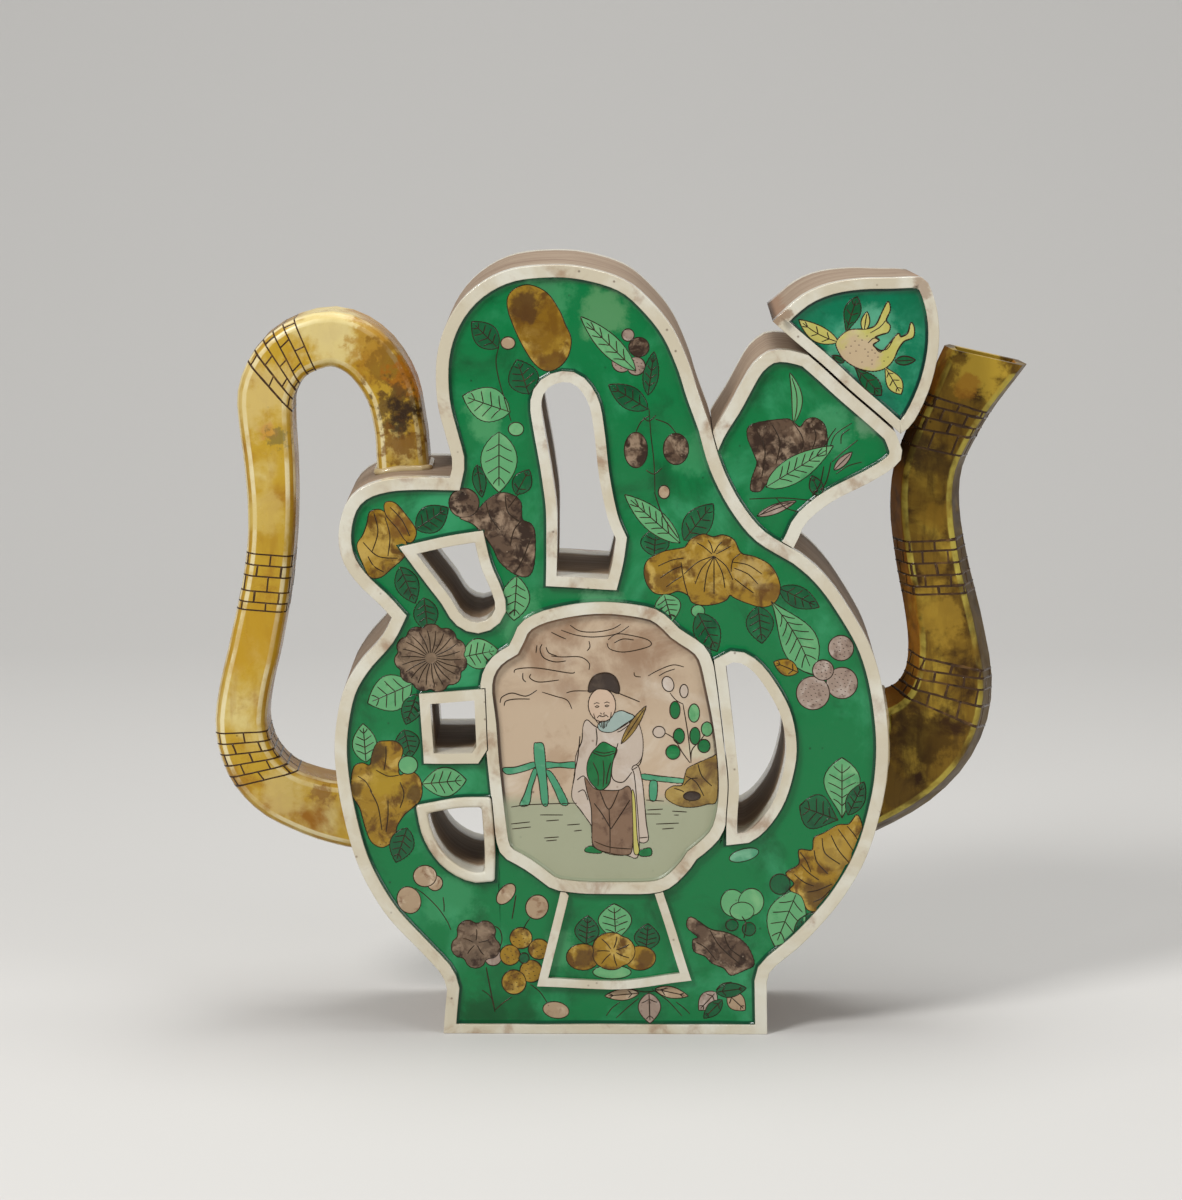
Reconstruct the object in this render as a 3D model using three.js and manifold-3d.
// A slab-built porcelain pot with a pierced flat body, a side neck with a lift-off fan lid,
// a strap handle and a faceted spout.
//
// Everything is drawn facing the viewer, x to the right, y up and z towards the viewer, in
// millimetres, with the middle of the foot at the origin. The outer group then stands it up, so
// that z is up and the decorated front looks along -y.
import * as THREE from "three";
import { mergeVertices } from "three/addons/utils/BufferGeometryUtils.js";
import Module from "manifold-3d";

const wasm = await Module();
wasm.setup();

// Sizes of the body
const bodyWidth = 153;
const bodyHeight = 215;
const bodyDepth = 52;
const wallThickness = 3.4;
const baseThickness = 2.6;
const slabThickness = 4.2;
const rimStep = 1.8;
const liningThickness = 2.9;
const jointGap = 0.3;
const throatWindowLength = 22;
const throatWindowDepth = 30;

// Sizes of the medallion and of the plinth below it
const medallionWidth = 68.7;
const medallionHeight = 82.1;
const medallionFrameWidth = 3.2;
const plinthRibWidth = 2.4;

// Sizes of the five piercings
const archWidth = 20.6;
const archHeight = 54.4;
const shoulderHoleWidth = 21.5;
const shoulderHoleHeight = 22.5;
const squareHoleWidth = 13;
const squareHoleHeight = 14.6;
const quarterHoleWidth = 15.6;
const quarterHoleHeight = 18.4;
const crescentWidth = 16.6;
const crescentHeight = 48.3;

// Widths of the web between the medallion and the piercings beside it and above it
const sideWeb = 3;
const topWeb = 6.4;

// Sizes of the neck's mouth and of the lid
const mouthWidth = 18;
const mouthDepth = 34;
const seatGap = 0.35;
const lidWall = 3;
const lidBackDraft = 3;
const flangeClearance = 0.6;
const flangeWall = 2.4;
const flangeDrop = 7;
const ventDiameter = 2.4;

// Sizes of the handle
const handleWidth = 14.4;
const handleDepth = 20;
const handleBevel = 2;

// Sizes of the spout
const spoutRootDepth = 22;
const spoutMouthDepth = 15;
const spoutSideFlare = 5;
const spoutWall = 2.6;
const strainerHoleDiameter = 3;
const strainerPitch = 6;
const strainerRingHoles = 6;

// Steps of the curves, and how far a cutter runs past what it cuts
const chordLength = 2.8;
const holeChordLength = 2.2;
const handleChordLength = 3.2;
const overrun = 10;
const spoutSteps = 34;
const roundSides = 12;

const frontRim = bodyDepth / 2;
const slabFront = frontRim - rimStep;
const slabBack = slabFront - slabThickness;
const origin = new THREE.Vector2();

// Outlines

// Each row is [x share, y share], in shares of a width and a height, and a third entry names the
// stretch that starts at the row: the outline has a corner or a joint there. Rows run
// anticlockwise. The body's stretches are its wall strips.
const bodyShares = [
  [-0.296, 0, "base_plate"],
  [0.296, 0, "right_foot_wall"],
  [0.294, 0.037],
  [0.293, 0.069, "right_wall"],
  [0.303, 0.087],
  [0.364, 0.125],
  [0.429, 0.18],
  [0.477, 0.244],
  [0.503, 0.311],
  [0.509, 0.378],
  [0.5, 0.449],
  [0.475, 0.513],
  [0.427, 0.573],
  [0.388, 0.607],
  [0.348, 0.631, "throat_wall"],
  [0.302, 0.651],
  [0.278, 0.665],
  [0.254, 0.685],
  [0.233, 0.707],
  [0.215, 0.732],
  [0.2, 0.76],
  [0.186, 0.795, "crown_wall"],
  [0.166, 0.835],
  [0.148, 0.876],
  [0.121, 0.918],
  [0.083, 0.951],
  [0.033, 0.98],
  [-0.039, 0.996],
  [-0.105, 1],
  [-0.176, 0.993],
  [-0.237, 0.969],
  [-0.278, 0.932],
  [-0.301, 0.884],
  [-0.301, 0.83],
  [-0.286, 0.782],
  [-0.275, 0.749],
  [-0.28, 0.727, "shoulder_wall"],
  [-0.34, 0.728],
  [-0.392, 0.726],
  [-0.437, 0.716],
  [-0.467, 0.694],
  [-0.48, 0.656],
  [-0.473, 0.621],
  [-0.446, 0.591],
  [-0.405, 0.564],
  [-0.384, 0.548, "left_wall"],
  [-0.403, 0.522],
  [-0.446, 0.487],
  [-0.475, 0.451],
  [-0.489, 0.4],
  [-0.489, 0.351],
  [-0.477, 0.291],
  [-0.449, 0.222],
  [-0.402, 0.161],
  [-0.34, 0.112],
  [-0.301, 0.08],
  [-0.29, 0.059, "left_foot_wall"],
  [-0.293, 0.03],
];

// The neck starts and ends inside the body, which trims it. Its mouth lies on the lid's seat.
const neckLowerShares = [
  [0.314, 0.605, "neck_lower_wall"],
  [0.344, 0.649],
  [0.361, 0.672],
  [0.408, 0.7],
  [0.476, 0.725],
  [0.516, 0.743],
  [0.53, 0.76],
];
const neckUpperShares = [
  [0.339, 0.89],
  [0.314, 0.893],
  [0.289, 0.89],
  [0.271, 0.88],
  [0.256, 0.867],
  [0.222, 0.823],
  [0.193, 0.791],
  [0.176, 0.763, "neck_inside_body"],
  [0.185, 0.68],
  [0.24, 0.615],
];
const mouthStartShare = 0.03;
const mouthEndShare = 0.71;
const mouthCentreShare = 0.425;

const lidShares = [
  [0.524, 0.785, "lid_side_wall"],
  [0.548, 0.801],
  [0.578, 0.846],
  [0.592, 0.894],
  [0.59, 0.939],
  [0.575, 0.975],
  [0.559, 0.986, "lid_crest_wall"],
  [0.507, 0.985],
  [0.456, 0.984],
  [0.402, 0.978],
  [0.356, 0.964],
  [0.316, 0.941],
  [0.296, 0.928, "lid_seat_plate"],
];

const archShares = [
  [-0.301, -0.485, "sill"],
  [0.398, -0.5, "right"],
  [0.456, -0.406],
  [0.5, -0.296, "waist"],
  [0.388, -0.186],
  [0.272, 0.026],
  [0.214, 0.256],
  [0.141, 0.393],
  [-0.024, 0.482],
  [-0.218, 0.5],
  [-0.413, 0.467],
  [-0.5, 0.393],
  [-0.461, 0.265],
  [-0.35, 0.026],
  [-0.291, -0.149],
  [-0.296, -0.342],
];
const shoulderHoleShares = [
  [0.247, 0.502, "top"],
  [-0.13, 0.444],
  [-0.498, 0.36, "left"],
  [-0.293, 0.093],
  [-0.084, -0.173],
  [0.065, -0.404],
  [0.242, -0.498],
  [0.414, -0.449],
  [0.502, -0.307],
  [0.447, -0.089],
  [0.335, 0.178],
];
const squareHoleShares = [
  [-0.431, -0.493, "sill"],
  [0.415, -0.493, "corner"],
  [0.508, -0.37, "right"],
  [0.462, 0.507, "top"],
  [-0.492, 0.445, "left"],
];
const quarterHoleShares = [
  [-0.5, 0.397, "round"],
  [-0.442, 0.152],
  [-0.327, -0.076],
  [-0.135, -0.293],
  [0.122, -0.44],
  [0.346, -0.5],
  [0.494, -0.489, "right"],
  [0.5, -0.12],
  [0.442, 0.495, "top"],
  [0.026, 0.478],
];
const crescentShares = [
  [-0.289, -0.499, "round"],
  [-0.127, -0.489],
  [0.102, -0.418],
  [0.343, -0.284],
  [0.488, -0.108],
  [0.5, 0.037],
  [0.398, 0.203],
  [0.199, 0.337],
  [-0.03, 0.443],
  [-0.229, 0.493],
  [-0.386, 0.501],
  [-0.5, 0.48, "left"],
  [-0.428, 0.306],
  [-0.343, 0.058],
  [-0.271, -0.184],
  [-0.289, -0.398],
];

// An octagon with hollowed corners.
const medallionShares = [
  [-0.189, -0.487, "bottom"],
  [-0.073, -0.498],
  [0.116, -0.501],
  [0.226, -0.491],
  [0.291, -0.46],
  [0.344, -0.412],
  [0.37, -0.379, "lower_right"],
  [0.431, -0.336],
  [0.477, -0.283],
  [0.499, -0.183],
  [0.498, -0.049],
  [0.48, 0.085],
  [0.451, 0.213],
  [0.425, 0.309],
  [0.39, 0.357],
  [0.335, 0.389],
  [0.294, 0.413, "upper_right"],
  [0.25, 0.449],
  [0.192, 0.48],
  [0.044, 0.499],
  [-0.087, 0.497],
  [-0.22, 0.477],
  [-0.298, 0.453],
  [-0.346, 0.424],
  [-0.367, 0.385],
  [-0.387, 0.35, "upper_left"],
  [-0.448, 0.315],
  [-0.489, 0.263],
  [-0.501, 0.195],
  [-0.483, 0.073],
  [-0.47, -0.085],
  [-0.456, -0.225],
  [-0.435, -0.341],
  [-0.4, -0.379, "lower_left"],
  [-0.332, -0.409],
  [-0.274, -0.443],
  [-0.231, -0.473],
];
const plinthShares = [
  [-0.08, 0.195, "left"],
  [-0.124, 0.063, "bottom"],
  [0.02, 0.06],
  [0.157, 0.071, "right"],
  [0.101, 0.198, "top"],
];

// Where the medallion's middle is, in shares of the body's width and height.
const medallionCentreShares = [0, 0.377];

// The point near the medallion's edge that each piercing lies a web away from, in shares of the
// medallion's width and height from its middle.
const archFootShares = [-0.109, 0.5];
const shoulderHoleFootShares = [-0.399, 0.35];
const squareHoleFootShares = [-0.474, 0.073];
const quarterHoleFootShares = [-0.446, -0.314];
const crescentFootShares = [0.437, 0.003];

// The handle's middle line from the shoulder round to the belly, and the strap's width there in
// shares of the handle's width.
const handleShares = [
  [-0.368, 0.707, 1],
  [-0.37, 0.744, 0.99],
  [-0.375, 0.786, 0.97],
  [-0.392, 0.835, 1],
  [-0.438, 0.879, 1.03],
  [-0.502, 0.897, 1.07],
  [-0.575, 0.877, 1.07],
  [-0.614, 0.834, 1.07],
  [-0.618, 0.791, 1.03],
  [-0.611, 0.73, 0.99],
  [-0.609, 0.677, 0.94],
  [-0.613, 0.619, 0.92],
  [-0.624, 0.558, 0.94],
  [-0.642, 0.498, 0.97],
  [-0.661, 0.442, 0.99],
  [-0.668, 0.388, 1],
  [-0.649, 0.34, 1.03],
  [-0.603, 0.303, 1.08],
  [-0.536, 0.282, 1.18],
  [-0.477, 0.273, 1.29],
  [-0.418, 0.267, 1.33],
];

// The edges of the spout's front face, from its root inside the body up to its slanted mouth.
const spoutLeftShares = [
  [0.458, 0.405],
  [0.52, 0.416],
  [0.551, 0.432],
  [0.569, 0.456],
  [0.575, 0.493],
  [0.567, 0.548],
  [0.55, 0.609],
  [0.538, 0.67],
  [0.541, 0.725],
  [0.565, 0.781],
  [0.591, 0.825],
  [0.626, 0.884],
];
const spoutRightShares = [
  [0.418, 0.247],
  [0.504, 0.268],
  [0.595, 0.309],
  [0.661, 0.367],
  [0.687, 0.442],
  [0.668, 0.527],
  [0.641, 0.605],
  [0.626, 0.67],
  [0.631, 0.723],
  [0.659, 0.77],
  [0.694, 0.811],
  [0.752, 0.864],
];
// How much of the side flare is left at the mouth, and of the wall at a slanted side.
const mouthFlareShare = 0.38;
const slantedWallShare = 1.2;
const frontWallShare = 0.6;
const strainerCentreShare = 0.345;

// Colours and finishes
const finish = (color, roughness) => new THREE.MeshStandardMaterial({ color, roughness, metalness: 0 });
const rimGlaze = finish(0xe6ddcf, 0.22);
const greenGlaze = finish(0x1f8a57, 0.2);
const panelGlaze = finish(0xd9d3c0, 0.22);
const yellowGlaze = finish(0xc7a62c, 0.25);
const spoutGlaze = finish(0x8a7324, 0.25);
const biscuit = finish(0xa9876b, 0.75);

// Drawing

/** Scales rows of shares to points, and keeps the name of each stretch that starts there. */
function knotsOf(rows, width, height, centre = origin) {
  return rows.map(([x, y, mark]) => ({
    point: new THREE.Vector2(x * width, y * height).add(centre),
    mark,
  }));
}

/** The point at a pair of shares of the body's width and height. */
function onBody([x, y]) {
  return new THREE.Vector2(x * bodyWidth, y * bodyHeight);
}

/** Draws a closed outline through its knots, one smooth curve or straight line a stretch. */
function trace(knots, step) {
  const starts = knots.flatMap((knot, i) => (knot.mark ? [i] : []));
  const points = [];
  const marks = {};
  starts.forEach((start, k) => {
    const end = starts[k + 1] ?? starts[0] + knots.length;
    const stretch = [];
    for (let i = start; i <= end; i += 1) stretch.push(knots[i % knots.length].point);
    const curve = new THREE.SplineCurve(stretch);
    const steps = stretch.length === 2 ? 1 : Math.max(1, Math.round(curve.getLength() / step));
    marks[knots[start].mark] = points.length;
    points.push(...curve.getSpacedPoints(steps).slice(0, -1));
  });
  return { points, marks };
}

/** The unit normal of the side from a to b, to the left of its direction. */
function leftNormal(a, b) {
  return new THREE.Vector2(a.y - b.y, b.x - a.x).normalize();
}

/** The distance from a point to the side from a to b. */
function distanceToSide(point, a, b) {
  const along = b.clone().sub(a);
  const reach = point.clone().sub(a).dot(along) / along.lengthSq();
  return point.distanceTo(along.multiplyScalar(THREE.MathUtils.clamp(reach, 0, 1)).add(a));
}

/** Says whether a point keeps its distance from every side of an outline that is moved in. */
function isClear(candidate, points, widthOf) {
  const keptShare = 0.98;
  return points.every((point, i) => {
    const away = distanceToSide(candidate, point, points[(i + 1) % points.length]);
    return away >= keptShare * Math.abs(widthOf(i));
  });
}

/**
 * Moves the sides of an anticlockwise outline inwards, each by its own width, with mitred
 * corners. A point that the moved sides swallow becomes null. A negative width moves outwards.
 */
function movedIn(points, widthOf) {
  const count = points.length;
  const nearlyStraightShare = 1e-4;
  const moved = points.map((point, i) => {
    const before = (i + count - 1) % count;
    const first = leftNormal(points[before], point);
    const second = leftNormal(point, points[(i + 1) % count]);
    const turn = first.cross(second);
    if (Math.abs(turn) < nearlyStraightShare) return point.clone().addScaledVector(second, widthOf(i));
    const shift = new THREE.Vector2(
      (widthOf(before) * second.y - widthOf(i) * first.y) / turn,
      (widthOf(i) * first.x - widthOf(before) * second.x) / turn,
    );
    return shift.add(point);
  });
  return moved.map((candidate) => (isClear(candidate, points, widthOf) ? candidate : null));
}

/** The point where two lines cross, each given by a point and a direction. */
function crossing(start, along, otherStart, otherAlong) {
  const reach = otherStart.clone().sub(start).cross(otherAlong) / along.cross(otherAlong);
  return start.clone().addScaledVector(along, reach);
}

/** The corner in which the sides on both sides of a swallowed point meet, or null if not clear. */
function cornerOver(i, points, moved, widthOf) {
  const count = points.length;
  let before = i;
  while (!moved[before]) before = (before + count - 1) % count;
  let after = i;
  while (!moved[after]) after = (after + 1) % count;
  const incoming = points[(before + 1) % count].clone().sub(points[before]);
  const outgoing = points[after].clone().sub(points[(after + count - 1) % count]);
  const corner = crossing(moved[before], incoming, moved[after], outgoing);
  return isClear(corner, points, widthOf) ? corner : null;
}

/**
 * An outline drawn a fixed width inside another, or outside it where the width is negative.
 * Where a short side is swallowed whole, the sides on both sides of it meet in one corner.
 */
function inset(points, width) {
  const widthOf = () => width;
  const moved = movedIn(points, widthOf);
  const drawn = moved.map((point, i) => {
    if (point) return point;
    const startsGap = moved[(i + points.length - 1) % points.length];
    return startsGap ? cornerOver(i, points, moved, widthOf) : null;
  });
  return drawn.filter(Boolean);
}

/** A plate or band of an outline, from one depth to another, with holes through it. */
function prism(points, from, to, holes = []) {
  const shape = new THREE.Shape(points);
  shape.holes = holes.map((hole) => new THREE.Path(hole));
  const geometry = new THREE.ExtrudeGeometry(shape, { depth: to - from, bevelEnabled: false });
  return geometry.translate(0, 0, from);
}

/** A cutter of an outline that runs right through the body and out of both faces. */
function throughCutter(points) {
  return prism(points, -frontRim - overrun, frontRim + overrun);
}

/** A closed mesh as a solid that can be joined and cut. */
function solidOf(geometry) {
  const bare = new THREE.BufferGeometry().setAttribute("position", geometry.getAttribute("position"));
  if (geometry.index) bare.setIndex(geometry.index);
  const merged = mergeVertices(bare);
  const vertProperties = merged.getAttribute("position").array;
  const triVerts = new Uint32Array(merged.index.array);
  return new wasm.Manifold(new wasm.Mesh({ numProp: 3, vertProperties, triVerts }));
}

/** A geometry with the shapes of others cut out of it. */
function cut(geometry, ...cutters) {
  const left = cutters.reduce((solid, cutter) => solid.subtract(solidOf(cutter)), solidOf(geometry));
  const mesh = left.getMesh();
  const result = new THREE.BufferGeometry();
  result.setAttribute("position", new THREE.BufferAttribute(mesh.vertProperties, mesh.numProp));
  result.setIndex(new THREE.BufferAttribute(mesh.triVerts, 1));
  result.computeVertexNormals();
  return result;
}

/** A round bar along a direction in the drawing plane, centred on a point. */
function bar(diameter, length, centre, direction, depth = 0) {
  const geometry = new THREE.CylinderGeometry(diameter / 2, diameter / 2, length, roundSides);
  geometry.rotateZ(direction.angle() - Math.PI / 2);
  return geometry.translate(centre.x, centre.y, depth);
}

/** A closed skin over a row of rings, each of the same even count of points round a section. */
function skin(rings) {
  const size = rings[0].length;
  const top = (rings.length - 1) * size;
  const endQuads = size / 2 - 1;
  const index = [];
  const quad = (a, b, c, d) => index.push(a, b, c, a, c, d);
  for (let start = 0; start < top; start += size) {
    for (let i = 0; i < size; i += 1) {
      const next = (i + 1) % size;
      quad(start + i, start + next, start + size + next, start + size + i);
    }
  }
  for (let i = 0; i < endQuads; i += 1) {
    quad(size - 1 - i, size - 2 - i, i + 1, i);
    quad(top + i, top + i + 1, top + size - 2 - i, top + size - 1 - i);
  }
  const geometry = new THREE.BufferGeometry().setFromPoints(rings.flat());
  geometry.setIndex(index);
  geometry.computeVertexNormals();
  return geometry;
}

/** Shortens a row of points at both ends by a gap. */
function shortened(points, gap) {
  const towards = (from, to) => from.clone().add(to.clone().sub(from).setLength(gap));
  if (!gap || points.length < 2) return points;
  const first = towards(points[0], points[1]);
  const last = towards(points.at(-1), points.at(-2));
  return [first, ...points.slice(1, -1), last];
}

/**
 * The strips of a wall that runs round an outline: one for each stretch that is asked for. Each
 * meets the next on a shared end face, or across a gap at each end.
 */
function wallStrips(outline, widthOf, names, endGap = 0) {
  const inner = movedIn(outline.points, widthOf);
  const starts = Object.values(outline.marks);
  const count = outline.points.length;
  const cornerAt = (i) => inner[i] ?? cornerOver(i, outline.points, inner, widthOf);
  const keptFrom = (i) => cornerAt(i % count) ?? keptFrom(i + 1);
  return names.map((name) => {
    const first = outline.marks[name];
    const last = starts.find((start) => start > first) ?? count;
    const places = Array.from({ length: last - first + 1 }, (_, i) => first + i);
    const between = places.slice(1, -1).map((i) => inner[i % count]);
    const inside = new Set([keptFrom(first), ...between.filter(Boolean), keptFrom(last)]);
    const outside = places.map((i) => outline.points[i % count]);
    return { name, points: [...shortened(outside, endGap), ...shortened([...inside], endGap).reverse()] };
  });
}

const pot = new THREE.Group();
const lid = new THREE.Group();

/** Adds a piece to one of the two groups under its own name. */
function add(group, name, geometry, material, depth = 0) {
  const mesh = new THREE.Mesh(geometry, material);
  mesh.name = name;
  mesh.position.z = depth;
  group.add(mesh);
}

/** Adds a front piece and its copy on the back face, which mirrors it. */
function addBothFaces(name, outlineGeometry, from, to, material) {
  add(pot, "front_" + name, outlineGeometry(from, to), material);
  add(pot, "back_" + name, outlineGeometry(-to, -from), material);
}

// The body's walls

const body = trace(knotsOf(bodyShares, bodyWidth, bodyHeight), chordLength);
const bodyEnvelope = throughCutter(inset(body.points, -jointGap));
const basePoints = body.marks.right_foot_wall;
const bodyWallWidth = (side) => (side < basePoints ? baseThickness : wallThickness);
const bodyCavity = movedIn(body.points, (side) => bodyWallWidth(side) + jointGap).filter(Boolean);

/** The window in the throat wall through which the pot is filled from its neck. */
function throatWindow(outline) {
  const middle = Math.round((outline.marks.throat_wall + outline.marks.crown_wall) / 2);
  const centre = outline.points[middle];
  const along = outline.points[middle + 1].clone().sub(outline.points[middle - 1]);
  const window = new THREE.BoxGeometry(throatWindowLength, wallThickness + overrun, throatWindowDepth);
  window.rotateZ(along.angle());
  return window.translate(centre.x, centre.y, 0);
}

/** The strainer holes that the spout covers, one in the middle of a ring. */
function strainerHoles() {
  const height = strainerCentreShare * bodyHeight;
  const sideways = new THREE.Vector2(1, 0);
  const places = [origin];
  for (let i = 0; i < strainerRingHoles; i += 1) {
    const place = new THREE.Vector2(strainerPitch, 0);
    places.push(place.rotateAround(origin, (2 * Math.PI * i) / strainerRingHoles));
  }
  return places.map((place) => {
    const centre = new THREE.Vector2(bodyWidth / 2, height + place.y);
    return bar(strainerHoleDiameter, bodyWidth / 2, centre, sideways, place.x);
  });
}

const wallCutters = { throat_wall: [throatWindow(body)], right_wall: strainerHoles() };
for (const { name, points } of wallStrips(body, bodyWallWidth, Object.keys(body.marks))) {
  const wall = prism(points, -frontRim, frontRim);
  add(pot, name, wallCutters[name] ? cut(wall, ...wallCutters[name]) : wall, biscuit);
}

// The medallion, and the piercings round it, each lined through the whole depth

const medallionCentre = onBody(medallionCentreShares);
const medallion = trace(
  knotsOf(medallionShares, medallionWidth, medallionHeight, medallionCentre),
  chordLength,
).points;
const medallionInside = inset(medallion, medallionFrameWidth);
const medallionOpening = throughCutter(inset(medallion, -jointGap));

/** The middle of a piercing that lies a web away from the medallion, towards a side. */
function besideMedallion([x, y], width, height, [sideX, sideY]) {
  return new THREE.Vector2(
    x * medallionWidth + sideX * (sideWeb + width / 2),
    y * medallionHeight + sideY * (topWeb + height / 2),
  ).add(medallionCentre);
}

const liningCutters = [];

/** Adds the lining of a piercing, and keeps the cutter that makes room for it in the faces. */
function addLining(name, rows, width, height, footShares, side) {
  const centre = besideMedallion(footShares, width, height, side);
  const hole = trace(knotsOf(rows, width, height, centre), holeChordLength).points;
  const outside = inset(hole, -liningThickness);
  add(pot, name, prism(outside, -frontRim, frontRim, [hole]), biscuit);
  liningCutters.push(throughCutter(inset(outside, -jointGap)));
}

addLining("arch_lining", archShares, archWidth, archHeight, archFootShares, [0, 1]);
addLining(
  "shoulder_lining",
  shoulderHoleShares,
  shoulderHoleWidth,
  shoulderHoleHeight,
  shoulderHoleFootShares,
  [-1, 1],
);
addLining(
  "square_lining",
  squareHoleShares,
  squareHoleWidth,
  squareHoleHeight,
  squareHoleFootShares,
  [-1, 0],
);
addLining(
  "quarter_lining",
  quarterHoleShares,
  quarterHoleWidth,
  quarterHoleHeight,
  quarterHoleFootShares,
  [-1, 0],
);
addLining(
  "crescent_lining",
  crescentShares,
  crescentWidth,
  crescentHeight,
  crescentFootShares,
  [1, 0],
);

// The faces: a recessed slab on each side with the medallion and its frame let into it

addBothFaces(
  "slab",
  (from, to) => cut(prism(bodyCavity, from, to), medallionOpening, ...liningCutters),
  slabBack,
  slabFront,
  greenGlaze,
);
addBothFaces(
  "medallion_frame",
  (from, to) => cut(prism(medallion, from, to, [medallionInside]), ...liningCutters),
  slabBack,
  frontRim,
  rimGlaze,
);
addBothFaces(
  "medallion_panel",
  (from, to) => prism(inset(medallionInside, jointGap), from, to),
  slabBack,
  slabFront,
  panelGlaze,
);

const plinth = trace(knotsOf(plinthShares, bodyWidth, bodyHeight), chordLength);
const plinthInside = movedIn(plinth.points, () => plinthRibWidth);
const plinthSides = plinth.marks.top;
const plinthRib = [
  ...plinth.points.slice(0, plinthSides + 1),
  ...plinthInside.slice(0, plinthSides + 1).filter(Boolean).reverse(),
];
addBothFaces(
  "plinth_rib",
  (from, to) => cut(prism(plinthRib, from, to), medallionOpening),
  slabFront,
  frontRim,
  rimGlaze,
);

// The lid: a hollow fan with its point down, seated on its slanted side

const lidOutline = trace(knotsOf(lidShares, bodyWidth, bodyHeight), chordLength);
const seatLow = onBody(lidShares[0]);
const seatHigh = onBody(lidShares.at(-1));
const seatNormal = leftNormal(seatHigh, seatLow);
const lidHeight = Math.max(...lidOutline.points.map((p) => p.clone().sub(seatLow).dot(seatNormal)));

/** Leans the lid's top down towards the back, in proportion to the height above its seat. */
function draughted(geometry) {
  const place = geometry.getAttribute("position");
  for (let i = 0; i < place.count; i += 1) {
    const point = new THREE.Vector2(place.getX(i), place.getY(i));
    const heightShare = point.clone().sub(seatLow).dot(seatNormal) / lidHeight;
    const backShare = (frontRim - place.getZ(i)) / bodyDepth;
    point.addScaledVector(seatNormal, -lidBackDraft * heightShare * backShare);
    place.setXY(i, point.x, point.y);
  }
  return geometry;
}

/** The height of the lid's underside over a place along x. */
function seatHeight(x) {
  return seatLow.y + ((x - seatLow.x) * (seatHigh.y - seatLow.y)) / (seatHigh.x - seatLow.x);
}

const mouthCentre = mouthCentreShare * bodyWidth;
const ventAxis = new THREE.Vector2(0, 1);
const vent = bar(
  ventDiameter,
  bodyDepth,
  new THREE.Vector2(mouthCentre, seatHeight(mouthCentre)),
  ventAxis,
);
const lidStrips = Object.keys(lidOutline.marks);
for (const { name, points } of wallStrips(lidOutline, () => lidWall, lidStrips, jointGap)) {
  const wall = draughted(prism(points, -frontRim, frontRim));
  add(lid, name, name === "lid_seat_plate" ? cut(wall, vent) : wall, biscuit);
}
const lidCavity = inset(lidOutline.points, lidWall + jointGap);
add(lid, "lid_front_slab", draughted(prism(lidCavity, slabBack, slabFront)), greenGlaze);
add(lid, "lid_back_slab", draughted(prism(lidCavity, -slabFront, -slabBack)), greenGlaze);

/** A column under the seat between two places along x, as deep as it is asked to be. */
function column(left, right, top, bottom, depth) {
  const points = [
    new THREE.Vector2(left, seatHeight(left) - bottom),
    new THREE.Vector2(right, seatHeight(right) - bottom),
    new THREE.Vector2(right, seatHeight(right) - top),
    new THREE.Vector2(left, seatHeight(left) - top),
  ];
  return prism(points, -depth / 2, depth / 2);
}

const flangeHalfWidth = mouthWidth / 2 - flangeClearance;
const flangeDepth = mouthDepth - 2 * flangeClearance;
const flange = cut(
  column(
    mouthCentre - flangeHalfWidth,
    mouthCentre + flangeHalfWidth,
    jointGap,
    flangeDrop,
    flangeDepth,
  ),
  column(
    mouthCentre - flangeHalfWidth + flangeWall,
    mouthCentre + flangeHalfWidth - flangeWall,
    -overrun,
    flangeDrop + overrun,
    flangeDepth - 2 * flangeWall,
  ),
);
add(lid, "lid_flange", flange, biscuit);

// The neck, trimmed where it meets the body, with its mouth under the lid

const alongSeat = (share) => seatLow.clone().lerp(seatHigh, share).addScaledVector(seatNormal, -seatGap);
const neckKnots = [
  ...knotsOf(neckLowerShares, bodyWidth, bodyHeight),
  { point: alongSeat(mouthStartShare), mark: "neck_mouth_plate" },
  { point: alongSeat(mouthEndShare), mark: "neck_upper_wall" },
  ...knotsOf(neckUpperShares, bodyWidth, bodyHeight),
];
const neck = trace(neckKnots, chordLength);
const mouthOpening = column(
  mouthCentre - mouthWidth / 2,
  mouthCentre + mouthWidth / 2,
  -overrun,
  wallThickness + overrun,
  mouthDepth,
);
const neckStrips = ["neck_lower_wall", "neck_mouth_plate", "neck_upper_wall"];
for (const { name, points } of wallStrips(neck, () => wallThickness, neckStrips)) {
  const cutters = name === "neck_mouth_plate" ? [mouthOpening] : [bodyEnvelope];
  add(pot, name, cut(prism(points, -frontRim, frontRim), ...cutters), biscuit);
}
const neckCavity = inset(neck.points, wallThickness + jointGap);
add(pot, "neck_front_slab", cut(prism(neckCavity, slabBack, slabFront), bodyEnvelope), greenGlaze);
add(pot, "neck_back_slab", cut(prism(neckCavity, -slabFront, -slabBack), bodyEnvelope), greenGlaze);

// The handle: a strap with bevelled edges, bent on its edge

/** One section of the strap: an oblong with bevelled corners across the middle line. */
function strapSection(place, tangent, width) {
  const half = width / 2;
  const depth = handleDepth / 2;
  const at = (across, z) =>
    new THREE.Vector3(place.x - tangent.y * across, place.y + tangent.x * across, z);
  return [
    at(handleBevel - half, -depth),
    at(half - handleBevel, -depth),
    at(half, handleBevel - depth),
    at(half, depth - handleBevel),
    at(half - handleBevel, depth),
    at(handleBevel - half, depth),
    at(-half, depth - handleBevel),
    at(-half, handleBevel - depth),
  ];
}

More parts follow.
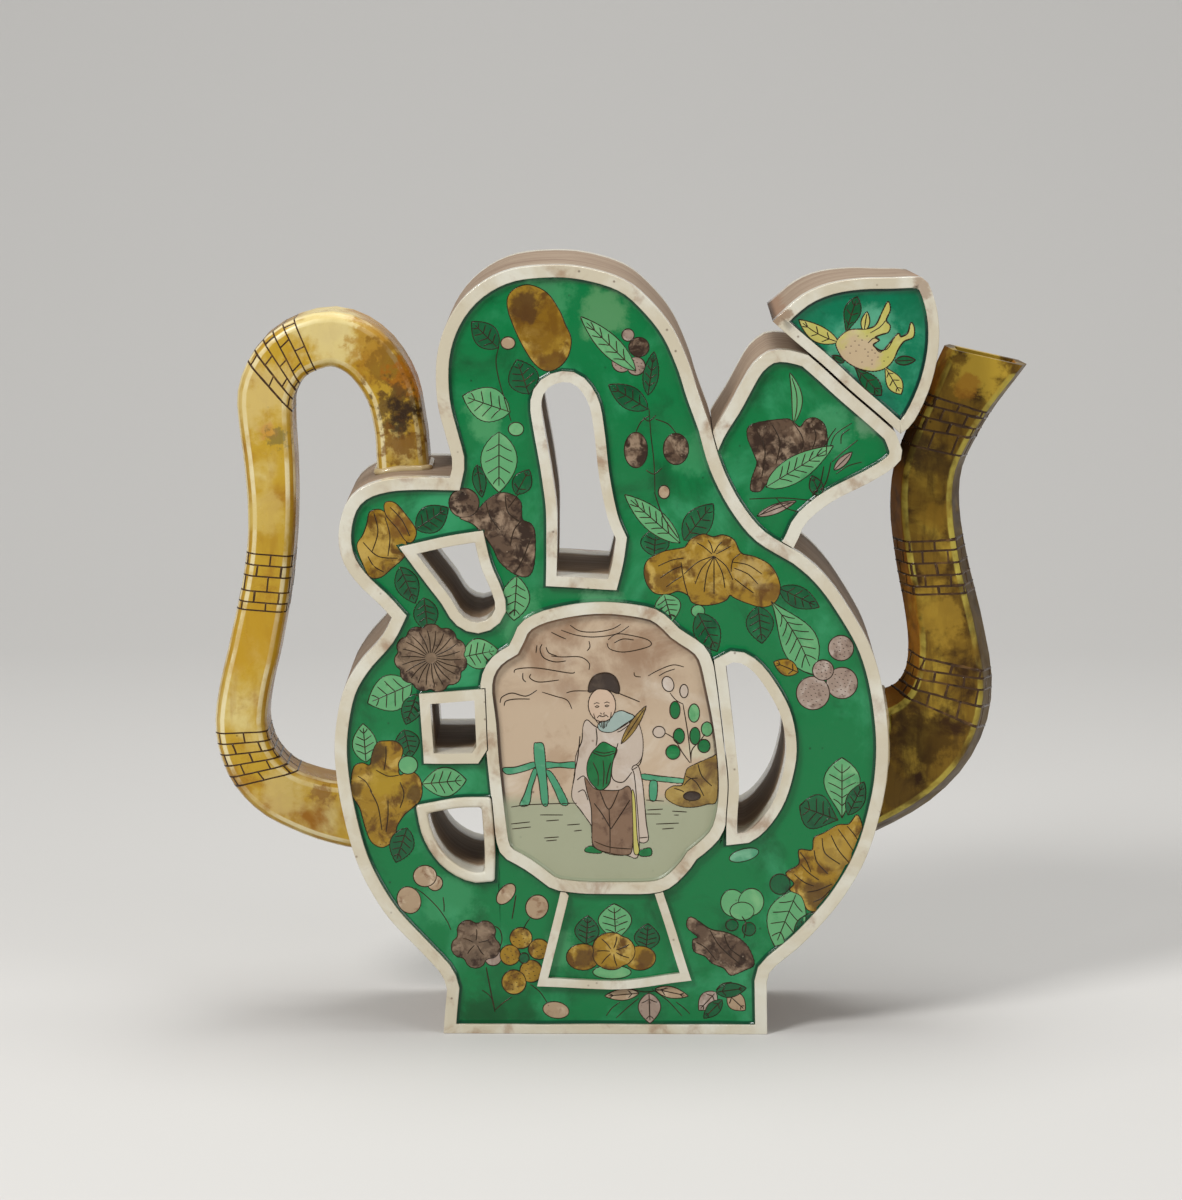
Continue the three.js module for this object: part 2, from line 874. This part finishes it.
/** The strap along its whole middle line, with its ends still inside the body. */
function strap() {
  const middle = new THREE.SplineCurve(handleShares.map(onBody));
  const widths = new THREE.SplineCurve(handleShares.map(([, , share], i) => new THREE.Vector2(i, share)));
  const steps = Math.round(middle.getLength() / handleChordLength);
  const rings = [];
  for (let i = 0; i <= steps; i += 1) {
    const travel = i / steps;
    const width = widths.getPoint(travel).y * handleWidth;
    rings.push(strapSection(middle.getPoint(travel), middle.getTangent(travel), width));
  }
  return skin(rings);
}

add(pot, "handle", cut(strap(), bodyEnvelope), yellowGlaze);

// The spout: a six-sided tube pressed in two halves and joined down its sides

/** One section of half a tube, as a ring of points from its left side to its right and back. */
function spoutSection(left, right, travelShare, side) {
  const across = right.clone().sub(left).normalize();
  const depth = THREE.MathUtils.lerp(spoutRootDepth, spoutMouthDepth, travelShare) / 2;
  const flare = spoutSideFlare * THREE.MathUtils.lerp(1, mouthFlareShare, travelShare);
  const sideWall = spoutWall * slantedWallShare;
  const frontInset = spoutWall * frontWallShare;
  const at = (point, shift, z) =>
    new THREE.Vector3(point.x + across.x * shift, point.y + across.y * shift, z * side);
  return [
    at(left, -flare, 0),
    at(left, 0, depth),
    at(right, 0, depth),
    at(right, flare, 0),
    at(right, flare - sideWall, 0),
    at(right, -frontInset, depth - spoutWall),
    at(left, frontInset, depth - spoutWall),
    at(left, sideWall - flare, 0),
  ];
}

/** Half of the spout: side is 1 for the half that faces the viewer and -1 for the other. */
function spoutHalf(side) {
  const leftEdge = new THREE.SplineCurve(spoutLeftShares.map(onBody));
  const rightEdge = new THREE.SplineCurve(spoutRightShares.map(onBody));
  const rings = [];
  for (let i = 0; i <= spoutSteps; i += 1) {
    const travel = i / spoutSteps;
    const ring = spoutSection(leftEdge.getPoint(travel), rightEdge.getPoint(travel), travel, side);
    rings.push(side > 0 ? ring : ring.reverse());
  }
  return cut(skin(rings), bodyEnvelope);
}

add(pot, "spout_front_half", spoutHalf(1), spoutGlaze);
add(pot, "spout_back_half", spoutHalf(-1), spoutGlaze);

// The group that stands the drawing up

const teapot = new THREE.Group();
teapot.rotation.x = Math.PI / 2;
teapot.add(pot, lid);
const part = new THREE.Group();
part.add(teapot);

export default part;
